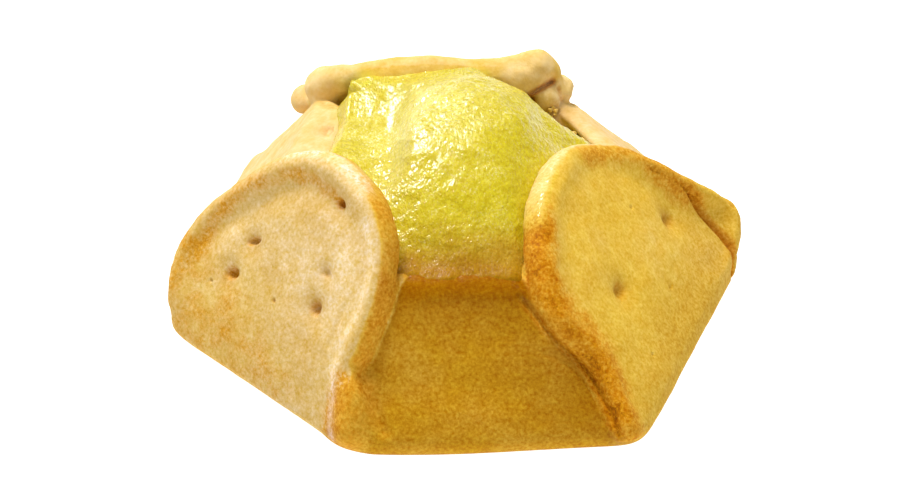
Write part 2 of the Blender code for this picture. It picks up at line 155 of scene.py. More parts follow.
# Folds of dough: x, y, z, and half sizes, in millimetres.
FOLD_LUMPS = {
    "rim_knob": (-23.3, 28.6, 25.4, 3.5, 3.4, 3.3),
    "rim_knob_tail": (-19.6, 27.8, 27.3, 4.2, 2.6, 2.4),
    "under_knob": (-23.4, 24.6, 21.4, 2.8, 4.6, 2.6),
    "corner_lobe": (-27.0, 34.0, 19.2, 2.4, 3.0, 2.6),
    "rim_lobe": (11.2, 28.8, 26.8, 4.4, 2.6, 2.8),
    "rim_peak": (13.7, 29.5, 28.9, 2.1, 2.1, 2.1),
    "broken_block": (15.6, 28.4, 23.6, 2.6, 2.8, 2.6),
    "broken_lobe": (18.0, 31.0, 23.2, 1.9, 2.3, 2.1),
    "broken_foot": (17.2, 27.5, 18.8, 3.0, 3.5, 3.0),
}

# The gusset where the left flap's edge runs into the front wall: side, along, up, out, half size.
GUSSET = [
    ("front", -22.1, 13.4, -1.5, 2.8),
    ("front", -22.3, 10.4, -1.2, 3.0),
    ("front", -22.8, 7.4, -1.2, 2.9),
]

# The middle of the broken crust, the heap of crumbs in it, and the line of crumbs beside it (start, way).
BROKEN_CRUST = (16.0, 29.0, 22.5)
CRUMB_HEAP = np.array([15.4, 25.6, 22.4])
CRUMB_LINE = np.array([[15.6, 19.4, 24.0], [5.4, -5.4, -0.6]])

# Cracks under the folds and in them: two ends (x, y, z), half width, depth; and how they run into the dough.
GAPS = [
    ((-23.5, 25.6, 23.4), (-19.6, 23.6, 23.4), 0.8, 0.8),
    ((11.6, 25.6, 25.2), (15.9, 26.4, 27.8), 0.46, 2.4),
    ((12.2, 25.6, 25.2), (12.9, 25.6, 22.0), 0.70, 1.8),
    ((16.9, 26.4, 26.4), (17.4, 26.4, 24.0), 0.45, 0.9),
]
GAP_DIRECTION = np.array([0.0, 0.82, -0.57])

# Browned lines, and light lines painted as highlights on the lit ridges, rim tops and faces of the dough:
# side, points (along, up), half width, amount.
BROWN_STROKES = [
    ("left", [(5.5, 38.6), (-2.0, 39.4), (-8.0, 38.0), (-14.0, 33.4), (-18.6, 26.6), (-20.2, 18.5)],
     1.3, 0.24),
    ("left", [(2.2, 39.6), (3.6, 38.9)], 0.8, 0.3),
    ("left", [(-22.0, 24.0), (-23.0, 14.0), (-20.0, 7.0)], 3.0, 0.12),
    ("left", [(-14.0, 14.0), (-8.0, 8.0), (4.0, 5.0)], 6.0, 0.14),
    ("front", [(-23.6, 15.0), (-24.6, 9.0), (-24.0, 4.0)], 2.4, 0.30),
    ("left", [(18.9, 16.0), (19.6, 6.0)], 2.4, 0.5),
    ("right", [(3.0, 39.8), (7.3, 39.6), (14.4, 35.4), (18.3, 31.0), (20.0, 26.5), (22.4, 21.4)], 2.3, 0.40),
    ("right", [(-8.0, 40.6), (-15.5, 38.2), (-20.6, 34.0), (-24.2, 28.0), (-24.2, 20.6), (-26.4, 14.4),
               (-29.0, 9.4), (-30.0, 6.0)], 2.5, 0.62),
    ("right", [(-18.6, 33.0), (-20.6, 27.6), (-20.6, 20.4), (-23.6, 13.6)], 1.6, 0.22),
    ("right", [(-11.0, 40.6), (-15.0, 38.8), (-19.0, 36.4), (-22.0, 33.4), (-24.0, 29.6)], 1.9, 0.45),
]
PALE_STROKES = [
    ("left", [(-13.0, 39.0), (-5.0, 43.4), (2.0, 44.2), (7.9, 42.0)], 1.3, 0.7),
    ("left", [(7.9, 39.6), (12.3, 37.2), (15.2, 34.0), (16.6, 28.8), (16.4, 23.5), (15.6, 17.8),
              (16.8, 12.0)], 1.1, 0.75),
    ("left", [(9.0, 34.0), (11.6, 28.0), (11.6, 22.0)], 3.0, 0.45),
    ("left", [(17.4, 12.0), (18.6, 8.0), (19.6, 5.0)], 1.0, 0.45),
    ("left", [(-2.0, 23.0), (6.0, 30.0)], 6.0, 0.25),
    ("left", [(-16.0, 26.0), (-14.0, 22.0)], 3.0, 0.35),
    ("right", [(0.0, 26.0), (14.0, 14.0), (18.0, 10.0)], 6.0, 0.06),
    ("back", [(21.0, 31.0), (12.0, 36.0), (3.0, 37.0), (-6.0, 36.0), (-16.0, 36.0)], 2.4, 0.28),
]

# Where the syrup has run over the dough: side, points (along, up), half width, amount.
WET_STROKES = [
    ("right", [(-2.0, 45.0), (-9.0, 44.6), (-15.0, 42.2), (-20.0, 39.4), (-23.6, 36.0)], 1.0, 0.9),
]

# Where a film of fruit has dried on the right flap's top: side, points (along, up), half width, amount.
STAIN_STROKE = ("right", [(2.0, 42.5), (-8.0, 42.4), (-13.5, 40.8)], 1.5, 0.4)

# How golden the dough is (0 cream, 1 golden, 2 amber), how grainy the flaps are, and the most that a field of
# the dough may be where that isn't 1.
CASE_TONES = {"left": 2.0, "front": 2.0, "right": 1.9, "back_right": 0.2, "back": 0.8, "back_left": 0.25}
FLAP_TONES = {"left": 0.22, "right": 1.0, "back": 0.75}
FLAP_GRAIN = {"left": 1.0, "right": 1.0, "back": 0.4}
FIELD_LIMITS = {"tone": 2.0, "brown": 1.3, "moist": 1.6}

# The filling: a mound with a dome and lumps (x, y, height, half width, half depth), and how far it laps over
# each wall.
MOUND_EDGE = 25.2
MOUND_RISE = 4.6
MOUND_FRONT = -27.0
MOUND_RUN = 26.0
DOME = (1.0, -1.0, 6.2, 13.5, 18.0)
DOME_BACK = 23.0
LUMPS = [
    (-15.0, 9.0, -1.2, 7.0, 9.0), (2.0, -19.5, 1.4, 9.0, 6.0), (-8.0, -17.0, 0.8, 6.0, 6.0),
    (0.0, 25.0, -0.5, 16.0, 5.0),
]
LAP = {"front": 0.85, "back_left": 0.30}

# The line (x, then y) beyond which the fruit falls towards the wall at the back right, and its least height.
FALL_LINE = np.array([(0.0, 20.6), (4.0, 19.4), (10.2, 17.2), (14.6, 14.6), (20.6, 11.4), (25.0, 7.0)]).T
MOUND_LEAST = 18.5

# For each flap: how deep below its outer face the fruit lies, how softly it bends to pass under it, and
# how steeply it may rise beyond the flap's rim, at the back and at the front.
ROOFS = {"left": (4.0, 1.2, 3.5, 3.5), "right": (3.6, 1.2, 0.55, 2.4), "back": (2.2, 0.6, 3.5, 3.5)}

# The size of the joined dough's faces, and the share of them kept where the dough can't be seen.
VOXEL = 0.46
HIDDEN_KEEP = 0.10

# Lights: name, place and width in metres, watts, colour, whether wet surfaces mirror it, and whether it also
# lights the pastry.
LIGHTS = [
    ("key", (-0.18, 0.30, 0.89), 0.42, 11.0, (1.0, 0.98, 0.95), False, True),
    ("window", (-0.41, 0.61, 0.67), 0.36, 13.5, (1.0, 0.99, 0.98), True, False),
    ("fill", (0.35, -0.8, 0.7), 0.8, 2.6, (1.0, 0.99, 0.97), False, True),
]


def ramp(x, low, high):
    """0 below low, 1 above high, and a soft rise between."""
    share = np.clip((np.asarray(x, float) - low) / (high - low), 0.0, 1.0)
    return share * share * (3.0 - 2.0 * share)


def fall(x, low, high):
    """1 below low, 0 above high, and a soft fall between."""
    return 1.0 - ramp(x, low, high)


def bump(x, width):
    return np.exp(-((np.asarray(x, float) / width) ** 2))


def lattice_noise(points, size, seed):
    """Smooth noise from -1 to 1 at each point, with features of this size."""
    scaled = points / size + seed * 17.31
    cell = np.floor(scaled).astype(np.int64)
    share = scaled - cell
    share = share**3 * (share * (share * 6.0 - 15.0) + 10.0)
    total = np.zeros(len(points))
    for corner in itertools.product((0, 1), repeat=3):
        key = (cell + corner) @ np.array([73856093, 19349663, 83492791]) + seed * 9781
        key = ((key ^ (key >> 13)) * 1274126177) & 0x7FFFFFFF
        value = ((key ^ (key >> 15)) & 0xFFFF) / 32767.5 - 1.0
        total += value * np.prod(np.where(corner, share, 1.0 - share), axis=1)
    return total


def layered_noise(points, size, seed, octaves=3):
    return sum(lattice_noise(points, size / 2**k, seed + k) / 2**k for k in range(octaves))


def side_frame(name):
    """A side's middle, its direction, its inward direction, its slope and its half length."""
    start, end, slope, _, _ = SIDES[name]
    first, last = np.array(CORNERS[start]), np.array(CORNERS[end])
    length = np.linalg.norm(last - first)
    along = (last - first) / length
    return (first + last) / 2.0, along, np.array([-along[1], along[0]]), math.radians(slope), length / 2.0


def wall_inset(z, slope):
    """How far a wall's outer face lies inside its side line at height z, the bottom fold included."""
    fold_top = FOLD_RADIUS * (1.0 + math.cos(slope))
    fold = FOLD_RADIUS - np.sqrt(np.maximum(0.0, FOLD_RADIUS**2 - (z - FOLD_RADIUS) ** 2))
    lean = FOLD_RADIUS * (1.0 - math.sin(slope)) + (z - fold_top) / math.tan(slope)
    return np.where(z < fold_top, fold, lean)


def flap_axes(name):
    """A flap's foot, and its three directions: along the side, up the flap and out of its face."""
    middle, along, inward, slope, _ = side_frame(name)
    inward = np.array([*inward, 0.0])
    rise = np.array([0.0, 0.0, 1.0])
    foot = np.array([*middle, 0.0]) + FOLD_RADIUS * (1.0 - math.sin(slope)) * inward
    foot += FOLD_RADIUS * (1.0 + math.cos(slope)) * rise
    up = math.cos(slope) * inward + math.sin(slope) * rise
    out = -math.sin(slope) * inward + math.cos(slope) * rise
    return foot, np.array([*along, 0.0]), up, out, FOLD_RADIUS * (math.pi - slope)


def flap_point(name, along, up, out):
    """Points on a side: along it, up its surface from the floor, and out from that surface."""
    middle, direction, inward, slope, _ = side_frame(name)
    along, up, out = (np.asarray(value, float) for value in (along, up, out))
    fold_length = FOLD_RADIUS * (math.pi - slope)
    turn = np.clip(up, 0.0, fold_length) / FOLD_RADIUS
    beyond = np.maximum(0.0, up - fold_length)
    inset = FOLD_RADIUS * (1.0 - np.sin(turn)) + beyond * math.cos(slope) + np.maximum(0.0, -up)
    inset = inset - out * np.sin(turn)
    height = FOLD_RADIUS * (1.0 - np.cos(turn)) + beyond * math.sin(slope) - out * np.cos(turn)
    flat = middle + along[..., None] * direction + inset[..., None] * inward
    return np.concatenate([flat, height[..., None]], -1)


def flap_coordinates(name, points):
    """Each point's place on a side: along it, up it and out from it."""
    foot, along, up, out, fold_length = flap_axes(name)
    away = points - foot
    return away @ along, away @ up + fold_length, away @ out


def side_weights(angles):
    """How much of each side shows in each direction from the middle."""
    weights = {}
    for name in SIDES:
        middle, _, inward, _, _ = side_frame(name)
        facing = -inward[0] * np.cos(angles) - inward[1] * np.sin(angles)
        weights[name] = np.maximum(0.0, facing / -(middle @ inward)) ** CORNER_SHARPNESS
    total = sum(weights.values())
    return {name: weight / total for name, weight in weights.items()}


def wall_height(angles):
    """The height of the case's top edge, a little lower where the right flap leans over its corner."""
    direction, half_width, depth = CORNER_DIP
    heights = sum(weight * SIDES[name][3] for name, weight in side_weights(angles).items())
    return heights - depth * bump(angles - direction, half_width)


def case_radius(angles, z, dough, gap=0.0):
    """The case's radius at height z, for a share of the dough's thickness, as a six-sided shape."""
    total = np.zeros(len(angles))
    for name in SIDES:
        middle, _, inward, slope, _ = side_frame(name)
        facing = -inward[0] * np.cos(angles) - inward[1] * np.sin(angles)
        thickness = DOUGH + EXTRA_DOUGH.get(name, 0.0) * ramp(z, 6.0, 20.0)
        inset = wall_inset(z, slope) + (dough * thickness + gap) / math.sin(slope)
        if SIDES[name][4]:
            inset = inset + FLAP_SEAT * ramp(z, 2.0, 10.0) / math.sin(slope)
        total += np.maximum(0.0, facing / (-(middle @ inward) - inset)) ** CORNER_SHARPNESS
    return total ** (-1.0 / CORNER_SHARPNESS)


def loft(rings):
    """Vertices and faces of a closed mesh through rings of equal count, with both ends capped."""
    count = len(rings[0])
    faces = []
    for row in range(len(rings) - 1):
        for i in range(count):
            j = (i + 1) % count
            faces.append((row * count + i, row * count + j, (row + 1) * count + j, (row + 1) * count + i))
    last = (len(rings) - 1) * count
    faces.append(tuple(reversed(range(count))))
    faces.append(tuple(range(last, last + count)))
    return np.concatenate(rings), faces


def make_object(name, parts):
    """One mesh object from several lists of vertices and faces, in metres, with its faces pointing out."""
    vertices, faces, start = [], [], 0
    for part_vertices, part_faces in parts:
        vertices.append(np.asarray(part_vertices) * MM)
        faces += [tuple(index + start for index in face) for face in part_faces]
        start += len(part_vertices)
    data = bpy.data.meshes.new(name)
    data.from_pydata(np.concatenate(vertices).tolist(), [], faces)
    mesh = bmesh.new()
    mesh.from_mesh(data)
    bmesh.ops.recalc_face_normals(mesh, faces=mesh.faces)
    mesh.to_mesh(data)
    mesh.free()
    obj = bpy.data.objects.new(name, data)
    bpy.context.scene.collection.objects.link(obj)
    return obj


def apply_modifiers(obj):
    graph = bpy.context.evaluated_depsgraph_get()
    result = bpy.data.meshes.new_from_object(obj.evaluated_get(graph))
    obj.modifiers.clear()
    obj.data = result


def places_of(obj):
    """The object's vertices in millimetres."""
    values = np.empty(len(obj.data.vertices) * 3, np.float32)
    obj.data.vertices.foreach_get("co", values)
    return values.reshape(-1, 3).astype(float) / MM


def move_to(obj, places):
    obj.data.vertices.foreach_set("co", (places * MM).astype(np.float32).ravel())
    obj.data.update()


def normals_of(obj):
    values = np.empty(len(obj.data.vertices) * 3, np.float32)
    obj.data.vertices.foreach_get("normal", values)
    return values.reshape(-1, 3).astype(float)


def soften(obj, places, steps, mask):
    """Moves each point towards its neighbours' mean, by the mask."""
    edges = np.empty(len(obj.data.edges) * 2, np.int32)
    obj.data.edges.foreach_get("vertices", edges)
    first, second = edges.reshape(-1, 2).T
    count = np.bincount(np.concatenate([first, second]), minlength=len(places)).astype(float)
    for _ in range(steps):
        total = np.zeros_like(places)
        for axis in range(3):
            total[:, axis] += np.bincount(first, places[second, axis], len(places))
            total[:, axis] += np.bincount(second, places[first, axis], len(places))
        places = places + (total / count[:, None] - places) * mask[:, None] * 0.6
    return places


def store(obj, name, values):
    layer = obj.data.attributes.new(name, "FLOAT", "POINT")
    layer.data.foreach_set("value", np.asarray(values, np.float32))


def spline(control, count):
    """A curve from the second control point to the last but one, with count steps between each two."""
    steps = np.linspace(0.0, 1.0, count, endpoint=False)[:, None]
    curve = []
    for a, b, c, d in zip(control, control[1:], control[2:], control[3:]):
        bend = (2 * a - 5 * b + 4 * c - d) * steps**2 + (3 * b - a - 3 * c + d) * steps**3
        curve.append(0.5 * (2 * b + (c - a) * steps + bend))
    return np.concatenate(curve + [control[-2][None]])


def open_curve(points):
    """A smooth open curve through the points."""
    points = np.array(points, float)
    return spline(np.array([2 * points[0] - points[1], *points, 2 * points[-1] - points[-2]]), 6)


def closed_curve(points, count):
    """A smooth closed curve through the points, as count points evenly spaced along it."""
    dense = spline(np.array([points[-1], *points, *points[:2]], float), 16)
    lengths = np.concatenate([[0.0], np.cumsum(np.linalg.norm(np.diff(dense, axis=0), axis=1))])
    wanted = np.linspace(0.0, lengths[-1], count, endpoint=False)
    return np.stack([np.interp(wanted, lengths, dense[:, k]) for k in (0, 1)], 1)


def distance_to_line(along, up, line, closed=False):
    """Each point's distance to a line in a flap's plane, and how far along the line that is, from 0 to 1."""
    line = np.asarray(line, float)
    ends = np.roll(line, -1, axis=0) if closed else line[1:]
    starts = line if closed else line[:-1]
    best = np.full(len(along), 1e9)
    where = np.zeros(len(along))
    for k, (start, end) in enumerate(zip(starts, ends)):
        step = end - start
        share = ((along - start[0]) * step[0] + (up - start[1]) * step[1]) / (step @ step)
        share = np.clip(share, 0.0, 1.0)
        away = np.hypot(along - start[0] - share * step[0], up - start[1] - share * step[1])
        nearer = away < best
        best = np.where(nearer, away, best)
        where = np.where(nearer, (k + share) / len(starts), where)
    return best, where


def inside_outline(along, up, line):
    """Whether each point lies inside a closed line, by counting crossings."""
    inside = np.zeros(len(along), bool)
    for (x1, y1), (x2, y2) in zip(line, np.roll(line, -1, axis=0)):
        crosses = (y1 > up) != (y2 > up)
        inside ^= crosses & (along < (x2 - x1) * (up - y1) / (y2 - y1 + 1e-12) + x1)
    return inside


def flap_curl(name, along, up):
    """How a flap bends towards the filling at its sides, or lifts off it."""
    if name == "right":
        return -0.008 * np.maximum(0.0, -along - 16.0) ** 2 * ramp(up, 12.0, 24.0)
    if name == "back":
        return 1.0 * bump(along + 16.5, 5.0) * ramp(up, 10.0, 26.0)
    return 0.6 * ramp(along, 8.0, 20.0) * ramp(up, 8.0, 18.0)


def flap_relief(name, along, up, inset):
    """How far the flap's outer face stands out: its bead, the trough inside it, a soft crown and its seat."""
    rise = ramp(up, 4.0, 12.0)
    crown = 0.9 * np.cos(np.minimum(1.0, np.abs(along) / 26.0) * math.pi / 2) * ramp(up, 6.0, 22.0)
    seat = 0.6 * fall(up, 4.0, 9.0)
    high = ramp(up, 14.0, 26.0)
    if name == "left":
        front = ramp(along, 4.0, 12.0)
        bead = (1.0 - front) * 1.0 * bump(inset - 2.4, 1.7) + front * 0.45 * bump(inset - 1.8, 1.4)
        trough = (1.0 - front) * 0.7 * bump(inset - 5.8, 2.3) * high
    elif name == "right":
        heavy = ramp(along, 12.0, 21.0)
        bead = (1.0 - heavy) * 0.55 * bump(inset - 2.6, 1.8) + heavy * 2.6 * bump(inset - 2.5, 2.5)
        trough = 0.12 * bump(inset - 6.2, 2.2) * high * (1.0 - heavy)
    else:
        bead = 0.5 * bump(inset - 2.4, 1.6)
        trough = 0.6 * bump(inset - 6.0, 2.4) * high
    return bead * rise + crown - trough - seat + flap_curl(name, along, up)


def flap_mesh(name):
    """A flap: a sheet of dough with a rounded rim, closed on both faces."""
    around = 260
    outline = closed_curve(FLAP_OUTLINES[name], around)
    centre = np.array(FLAP_CENTRES[name])
    reach = np.linalg.norm(centre - outline, axis=1)
    thickness = FLAP_THICKNESS[name]

    def ring(insets, outs=None):
        place = outline + (centre - outline) * (insets / reach)[:, None]
        if outs is None:
            outs = flap_relief(name, place[:, 0], place[:, 1], insets)
        return flap_point(name, place[:, 0], place[:, 1], outs)

    rings = [ring(RIM_ZONE + (reach - RIM_ZONE) * share) for share in np.linspace(0.98, 0.08, 12)]
    rings += [ring(np.full(around, inset)) for inset in np.linspace(RIM_ZONE, 1.3, 14)]
    outer = flap_relief(name, outline[:, 0], outline[:, 1], np.full(around, RIM_ROUND * 0.5))
    inner = flap_curl(name, outline[:, 0], outline[:, 1]) - thickness
    for turn in np.radians(np.linspace(25.0, 155.0, 9)):
        share = (1.0 + math.cos(turn)) / 2.0
        insets = np.full(around, RIM_ROUND * 0.55 * (1.0 - math.sin(turn)))
        rings.append(ring(insets, outer * share + inner * (1.0 - share)))
    rings += [ring(np.full(around, inset), inner) for inset in (2.4, 4.0, RIM_ZONE)]
    rings.append(ring(RIM_ZONE + (reach - RIM_ZONE) * 0.98, np.full(around, -thickness)))
    return loft(rings)


def case_mesh():
    """The bowl of dough: its floor, its six leaning walls and their rounded top edge."""
    angles = np.linspace(-math.pi, math.pi, 320, endpoint=False)
    tops = wall_height(angles)

    def ring(z, dough, top=0.0):
        heights = z + top * tops
        radii = case_radius(angles, heights, dough)
        return np.stack([radii * np.cos(angles), radii * np.sin(angles), heights], 1)

    rings = [ring(z, 0.0) for z in (0.0, 0.1, 0.3, 0.6, 1.0, 1.5, 2.1, 2.8, 3.6, 4.5)]
    rings += [ring(5.0 * (1.0 - share), 0.0, share) for share in np.linspace(0.05, 0.88, 20)]
    for turn in np.radians(np.linspace(0.0, 180.0, 9)):
        rings.append(ring(-2.0 + 2.0 * math.sin(turn), 0.5 - 0.5 * math.cos(turn), 1.0))
    rings.append(ring(-3.0, 1.0, 1.0))
    rings += [ring(z, 1.0) for z in (15.0, 12.0, 9.0, 6.0, DOUGH)]
    return loft(rings)


def ball_mesh(subdivisions):
    """Vertices and faces of a ball with a radius of 1."""
    ball = bmesh.new()
    bmesh.ops.create_icosphere(ball, subdivisions=subdivisions, radius=1.0)
    places = np.array([vertex.co for vertex in ball.verts])
    faces = [tuple(vertex.index for vertex in face.verts) for face in ball.faces]
    ball.free()
    return places, faces


def lump_mesh(centre, half_sizes, seed):
    """A rounded fold of dough, as an uneven stretched ball."""
    places, faces = ball_mesh(4)
    places = places * (1.0 + 0.10 * lattice_noise(places * 10.0, 6.0, seed)[:, None])
    return np.asarray(centre) + places * half_sizes, faces


def remesh(obj, size):
    modifier = obj.modifiers.new("join", "REMESH")
    modifier.mode = "VOXEL"
    modifier.voxel_size = size * MM
    apply_modifiers(obj)


def flap_insets(points):
    """For each flap: the points' place on it, how far inside its outline, and how much they belong to it."""
    found = {}
    for name, outline in FLAP_OUTLINES.items():
        along, up, out = flap_coordinates(name, points)
        line = closed_curve(outline, 120)
        near = (out > -FLAP_THICKNESS[name] - 1.2) & (out < 6.0) & (up > -2.0) & (np.abs(along) < 36.0)
        inset = np.full(len(points), -99.0)
        away, _ = distance_to_line(along[near], up[near], line, closed=True)
        inset[near] = np.where(inside_outline(along[near], up[near], line), away, -away)
        margin = -1.2 + 1.0 * ramp(-out, 0.3, 2.0)
        belongs = near * ramp(inset - margin, -0.35, 0.35)
        found[name] = (along, up, out, inset, belongs)
    return found


def stroke(name, points, line, width, lowest=-2.5, highest=5.0):
    """How near each point is to a line drawn on a side (along, up): 1 on the line, 0 well away from it."""
    along, up, out = flap_coordinates(name, points)
    near = (out > lowest) & (out < highest)
    away = np.full(len(points), 99.0)
    where = np.zeros(len(points))
    away[near], where[near] = distance_to_line(along[near], up[near], open_curve(line))
    return near * bump(away, width) * (0.15 + 0.85 * ramp(where, 0.0, 0.18))


def hole_distance(points, hole):
    """How far each point is from a dock hole's middle, in half sizes of the hole and in millimetres."""
    side, hole_along, hole_up, half_along, half_up, turn, *_ = hole
    along, up, out = flap_coordinates(side, points)
    turn = math.radians(turn)
    x = (along - hole_along) * math.cos(turn) + (up - hole_up) * math.sin(turn)
    y = (up - hole_up) * math.cos(turn) - (along - hole_along) * math.sin(turn)
    near = (out > -3.4) & (out < 3.0)
    return np.where(near, np.hypot(x / half_along, y / half_up), 99.0), np.where(near, np.hypot(x, y), 99.0)


def gap_depth(points):
    """How deep the cracks are at each point."""
    deepest = np.zeros(len(points))
    for start, end, half_width, depth in GAPS:
        away = points - start
        near = np.linalg.norm(away, axis=1) < 7.0
        away = away - (away @ GAP_DIRECTION)[:, None] * GAP_DIRECTION
        step = np.subtract(end, start)
        step = step - (step @ GAP_DIRECTION) * GAP_DIRECTION
        share = np.clip(away @ step / (step @ step), 0.0, 1.0)
        across = np.linalg.norm(away - share[:, None] * step, axis=1)
        deepest = np.maximum(deepest, depth * near * bump(across, half_width))
    return deepest


def shade_flap(dough, name, place, facing, patches, spots):
    """Gives a flap its tone and its browned rim, with painted shade on the left flap's side band, a painted
    shadow under the right flap's left rim and a painted highlight on its top; facing is 1 on its face and 0
    round its edge.
    """
    along, up, out, inset, belongs = place
    rim = belongs * ramp(up, 3.0, 9.0)
    edge = rim * fall(facing, 0.45, 0.9) * ramp(-inset, -3.4, -2.0)
    dough.tone += belongs * (FLAP_TONES[name] - dough.tone)
    dough.grainy += belongs * (FLAP_GRAIN[name] - dough.grainy)
    if name == "left":
        # The left flap's side band: a browned cut edge, darkened further as painted shade where it faces away
        # from the light.
        side_band = ramp(along, 6.0, 13.0) * edge
        top_line = fall(along, 4.0, 12.0) * edge
        low_left = ramp(-along, -8.0, 16.0) * fall(up, 10.0, 30.0) * belongs
        dough.brown += side_band * (0.45 + 0.25 * patches) + top_line * (0.22 + 0.2 * spots)
        dough.brown += 0.10 * low_left
        dough.tone += side_band * 1.55 + 0.30 * low_left + 0.3 * top_line
    elif name == "right":
        left_rim = ramp(-along, -2.0, 14.0) * edge
        below_top = ramp(-up, -42.0, -35.0)
        shoulder = ramp(out, -3.0, -1.0)
        underside = fall(out, -3.6, -2.0)
        dough.brown += left_rim * below_top * shoulder * (0.20 + 0.12 * patches + 0.12 * spots)
        dough.brown += edge * ramp(along, 14.0, 20.0) * 0.2
        # Painted shadow: the underside of the right flap's left rim is darkened.
        dough.moist += 0.7 * left_rim * underside * fall(up, 30.0, 36.0)
        dough.tone += left_rim * 0.7 * below_top + 0.35 * belongs * fall(up, 8.0, 22.0)
        # Painted highlight on the top of the right flap's rim.
        dough.floury += 0.6 * edge * ramp(up, 32.0, 38.0) * fall(-along, 6.0, 14.0)
    else:
        dough.brown += edge * (0.06 + 0.10 * patches)


def shade_lines(dough, points, patches, spots):
    """Draws the browned lines, the light lines as painted highlights, the wet lines, and painted shade along
    the creases and in the dock holes.
    """
    uneven = 1.0 + 0.35 * patches + 0.25 * spots
    for side, line, width, amount in BROWN_STROKES:
        dough.brown += amount * stroke(side, points, line, width, -3.6) * uneven
    for side, line, width, amount in PALE_STROKES:
        dough.floury += amount * stroke(side, points, line, width, -1.2) * (1.0 + 0.3 * spots)
    for side, line, width, amount in WET_STROKES:
        dough.wet += amount * stroke(side, points, line, width, -4.5, 1.5) * ramp(spots, -0.5, 0.3)
    # Painted shade along the creases.
    for side, line, level, width, _, amount in CREASES:
        dough.brown += amount * stroke(side, points, line, width * 1.4, level - 3.0, level + 2.0)
    for hole in DOCK_HOLES:
        *_, pit, dimple, reach = hole
        sizes, away = hole_distance(points, hole)
        # Painted shade in the holes' pits and in the dimples round them.
        dough.brown += min(0.6, pit * 0.4) * np.exp(-((sizes / 1.1) ** 3))
        dough.moist += 0.60 * dimple * bump(away, reach * 0.75)


def shade_folds(dough, points, on_flaps, spots):
    """Makes the gusset amber, paints the folds at the ends of the back rim lighter as a painted highlight,
    and paints shade into the cracks.
    """
    gusset = np.zeros(len(points))
    for side, along, up, out, size in GUSSET:
        away = np.linalg.norm(points - flap_point(side, along, up, out), axis=1)
        gusset = np.maximum(gusset, fall(away, size, size * 1.9) * (1.0 - on_flaps))
    dough.tone += gusset * (1.75 - dough.tone)
    for x, y, z, *half_sizes in FOLD_LUMPS.values():
        near = fall(np.linalg.norm((points - (x, y, z)) / half_sizes, axis=1), 1.0, 1.35)
        # Painted highlight on the folds.
        dough.floury = np.maximum(dough.floury, 0.40 * near)
        dough.tone += 0.8 * near * (0.5 - dough.tone)
        dough.grainy *= 1.0 - 0.6 * near
        dough.brown *= 1.0 - 0.7 * near
    dough.brown += 0.10 * spots * (dough.brown > 0.08) + 0.16 * gusset
    # Painted shade in the cracks, by their depth.
    dough.brown += 0.5 * gap_depth(points) ** 1.5


def shade_moisture(dough, points, on_flaps):
    """Paints the front wall darker towards its top near the fruit, as moist dough and painted shade; paints
    shade on the front wall towards the right flap and under the broken crust.
    """
    x, y, z = points.T
    _, _, out = flap_coordinates("front", points)
    front = (np.abs(out) < 3.0) * (1.0 - on_flaps) * ramp(-y, 20.0, 23.0)
    # Darker towards the top of the front wall: moist dough under the fruit, and painted shade.
    dough.moist += front * (0.8 * ramp(z, 15.0, 23.0) + 0.9 * ramp(z, 21.0, 24.0))
    # Painted shade on the front wall's foot towards the right flap.
    dough.moist += front * 0.95 * ramp(x, 2.0, 24.0) * ramp(z, 1.0, 8.0)
    # Painted shade under the broken crust.
    dough.moist += 0.8 * fall(z, 21.5, 24.5) * bump(np.hypot(x - 15.0, y - 25.0), 5.0)


def fruit_stain(points, normals, spots):
    """Where a film of fruit covers the dough: low on the back roll, and along the top of the right flap."""
    x, y, z = points.T
    shown = under_flaps(x, y - 1.5, mound_height(x, y - 1.5), points * (1.0, 1.0, 0.0))
    reach = 0.5 + 1.9 * bump(x + 3.0, 9.0)
    stain = fall(z - shown + 0.8 * spots - reach, -1.2, 1.2) * ramp(y, 14.0, 18.0)
    stain *= ramp(x, -23.0, -17.0) * fall(x, 3.0, 8.0)
    stain *= fall(z + 0.6 * spots, 28.4, 30.0) * fall(normals[:, 1], 0.1, 0.5)
    side, line, width, amount = STAIN_STROKE
    return stain + amount * stroke(side, points, line, width, -5.0, 1.0)


def pastry_fields(points, normals):
    """The dough's tone, its brown (which also holds painted shade in the creases, cracks and holes), its
    painted highlight, its moistness and painted shade, and how wet, stained with fruit and grainy it is.
    """
    weights = side_weights(np.arctan2(points[:, 1], points[:, 0]))
    light_walls = weights["back_right"] + weights["back_left"]
    patches = layered_noise(points, 7.0, 3)
    spots = layered_noise(points, 2.2, 31, 2)
    dough = SimpleNamespace(**{name: np.zeros(len(points)) for name in ("brown", "floury", "moist", "wet")})
    dough.tone = sum(weights[name] * CASE_TONES[name] for name in SIDES)
    dough.grainy = 1.0 - 0.65 * light_walls
    on_flaps = np.zeros(len(points))
    for name, place in flap_insets(points).items():
        *_, belongs = place
        shade_flap(dough, name, place, normals @ flap_axes(name)[3], patches, spots)
        on_flaps = np.maximum(on_flaps, belongs)
    shade_lines(dough, points, patches, spots)
    shade_folds(dough, points, on_flaps, spots)
    # Painted highlight on the back walls, which face the light.
    dough.floury = np.maximum(dough.floury, 0.25 * light_walls * (1.0 - on_flaps))
    shade_moisture(dough, points, on_flaps)
    dough.tone += 0.12 * patches
    dough.stain = fruit_stain(points, normals, spots)
    return {name: np.clip(values, 0.0, FIELD_LIMITS.get(name, 1.0)) for name, values in vars(dough).items()}


